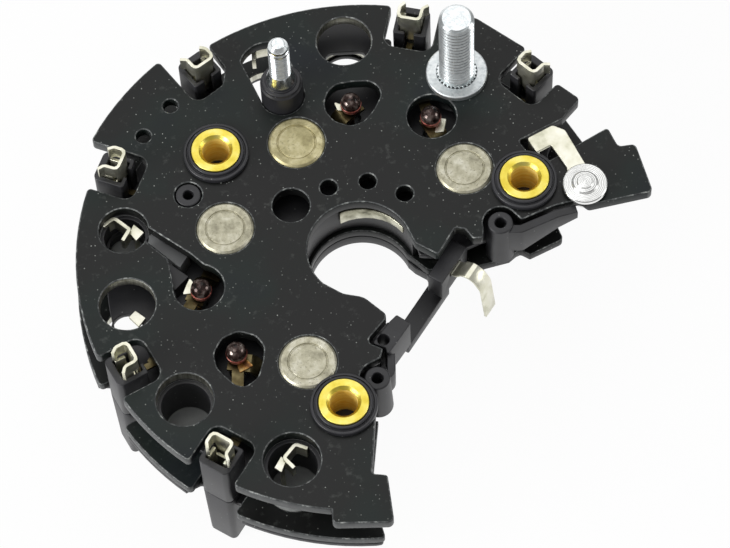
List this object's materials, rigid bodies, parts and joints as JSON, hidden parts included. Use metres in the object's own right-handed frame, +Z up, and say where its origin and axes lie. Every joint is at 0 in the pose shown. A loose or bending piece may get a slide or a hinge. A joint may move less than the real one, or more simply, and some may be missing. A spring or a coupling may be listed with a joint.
{
  "type": "alternator rectifier",
  "caption": "Diode rectifier for a vehicle alternator: two stamped heat sinks on a moulded carrier, with press-fit diodes, wire clips and terminal studs.",
  "frame": {"origin": "centre of the whole part's box seen from above, at the level of the wire chimneys' feet", "axes": "+Z up along the rotor shaft and the studs, +X to the right and +Y away from a viewer who has the open sector at the lower right"},
  "size_m": [0.1298, 0.1302, 0.0599],
  "materials": {
    "black_coating": "satin black coating on stamped aluminium plate",
    "grey_moulding": "matt dark grey glass-filled moulding",
    "nickel_base": "dull plated diode base, mottled",
    "weld_metal": "dark silver solder bead",
    "tinned_strip": "bright tinned copper strip",
    "brass": "turned brass",
    "bright_zinc": "bright zinc plated steel",
    "rivet_aluminium": "polished aluminium rivet"
  },
  "bodies": {
    "root": {"positive_heat_sink": "black_coating", "negative_heat_sink": "black_coating", "upper_carrier": "grey_moulding", "lower_carrier": "grey_moulding", "positive_diode_1": "nickel_base", "positive_diode_2": "nickel_base", "positive_diode_3": "nickel_base", "positive_diode_4": "nickel_base", "negative_diode_1": "nickel_base", "negative_diode_2": "nickel_base", "negative_diode_3": "nickel_base", "negative_diode_4": "nickel_base", "weld_bead_1": "weld_metal", "weld_bead_2": "weld_metal", "weld_bead_3": "weld_metal", "weld_bead_4": "weld_metal", "phase_strip_1": "tinned_strip", "phase_strip_2": "tinned_strip", "phase_strip_3": "tinned_strip", "phase_strip_4": "tinned_strip", "stator_clip_1": "tinned_strip", "stator_clip_2": "tinned_strip", "stator_clip_3": "tinned_strip", "stator_clip_4": "tinned_strip", "stator_clip_5": "tinned_strip", "stator_clip_6": "tinned_strip", "terminal_fork_1": "tinned_strip", "terminal_fork_2": "tinned_strip", "terminal_fork_3": "tinned_strip", "terminal_fork_4": "tinned_strip", "terminal_fork_5": "tinned_strip", "terminal_fork_6": "tinned_strip", "spare_terminal_1": "tinned_strip", "spare_terminal_2": "tinned_strip", "spare_terminal_3": "tinned_strip", "mounting_bush_1": "brass", "mounting_bush_2": "brass", "mounting_bush_3": "brass", "insulating_collar_1": "grey_moulding", "insulating_collar_2": "grey_moulding", "insulating_collar_3": "grey_moulding", "battery_stud": "bright_zinc", "battery_stud_washer": "bright_zinc", "field_stud": "bright_zinc", "field_stud_sleeve": "grey_moulding", "link_strip": "tinned_strip", "link_rivet": "rivet_aluminium", "contact_tongue": "tinned_strip", "inner_arc_strip": "tinned_strip"}
  },
  "joints": []
}
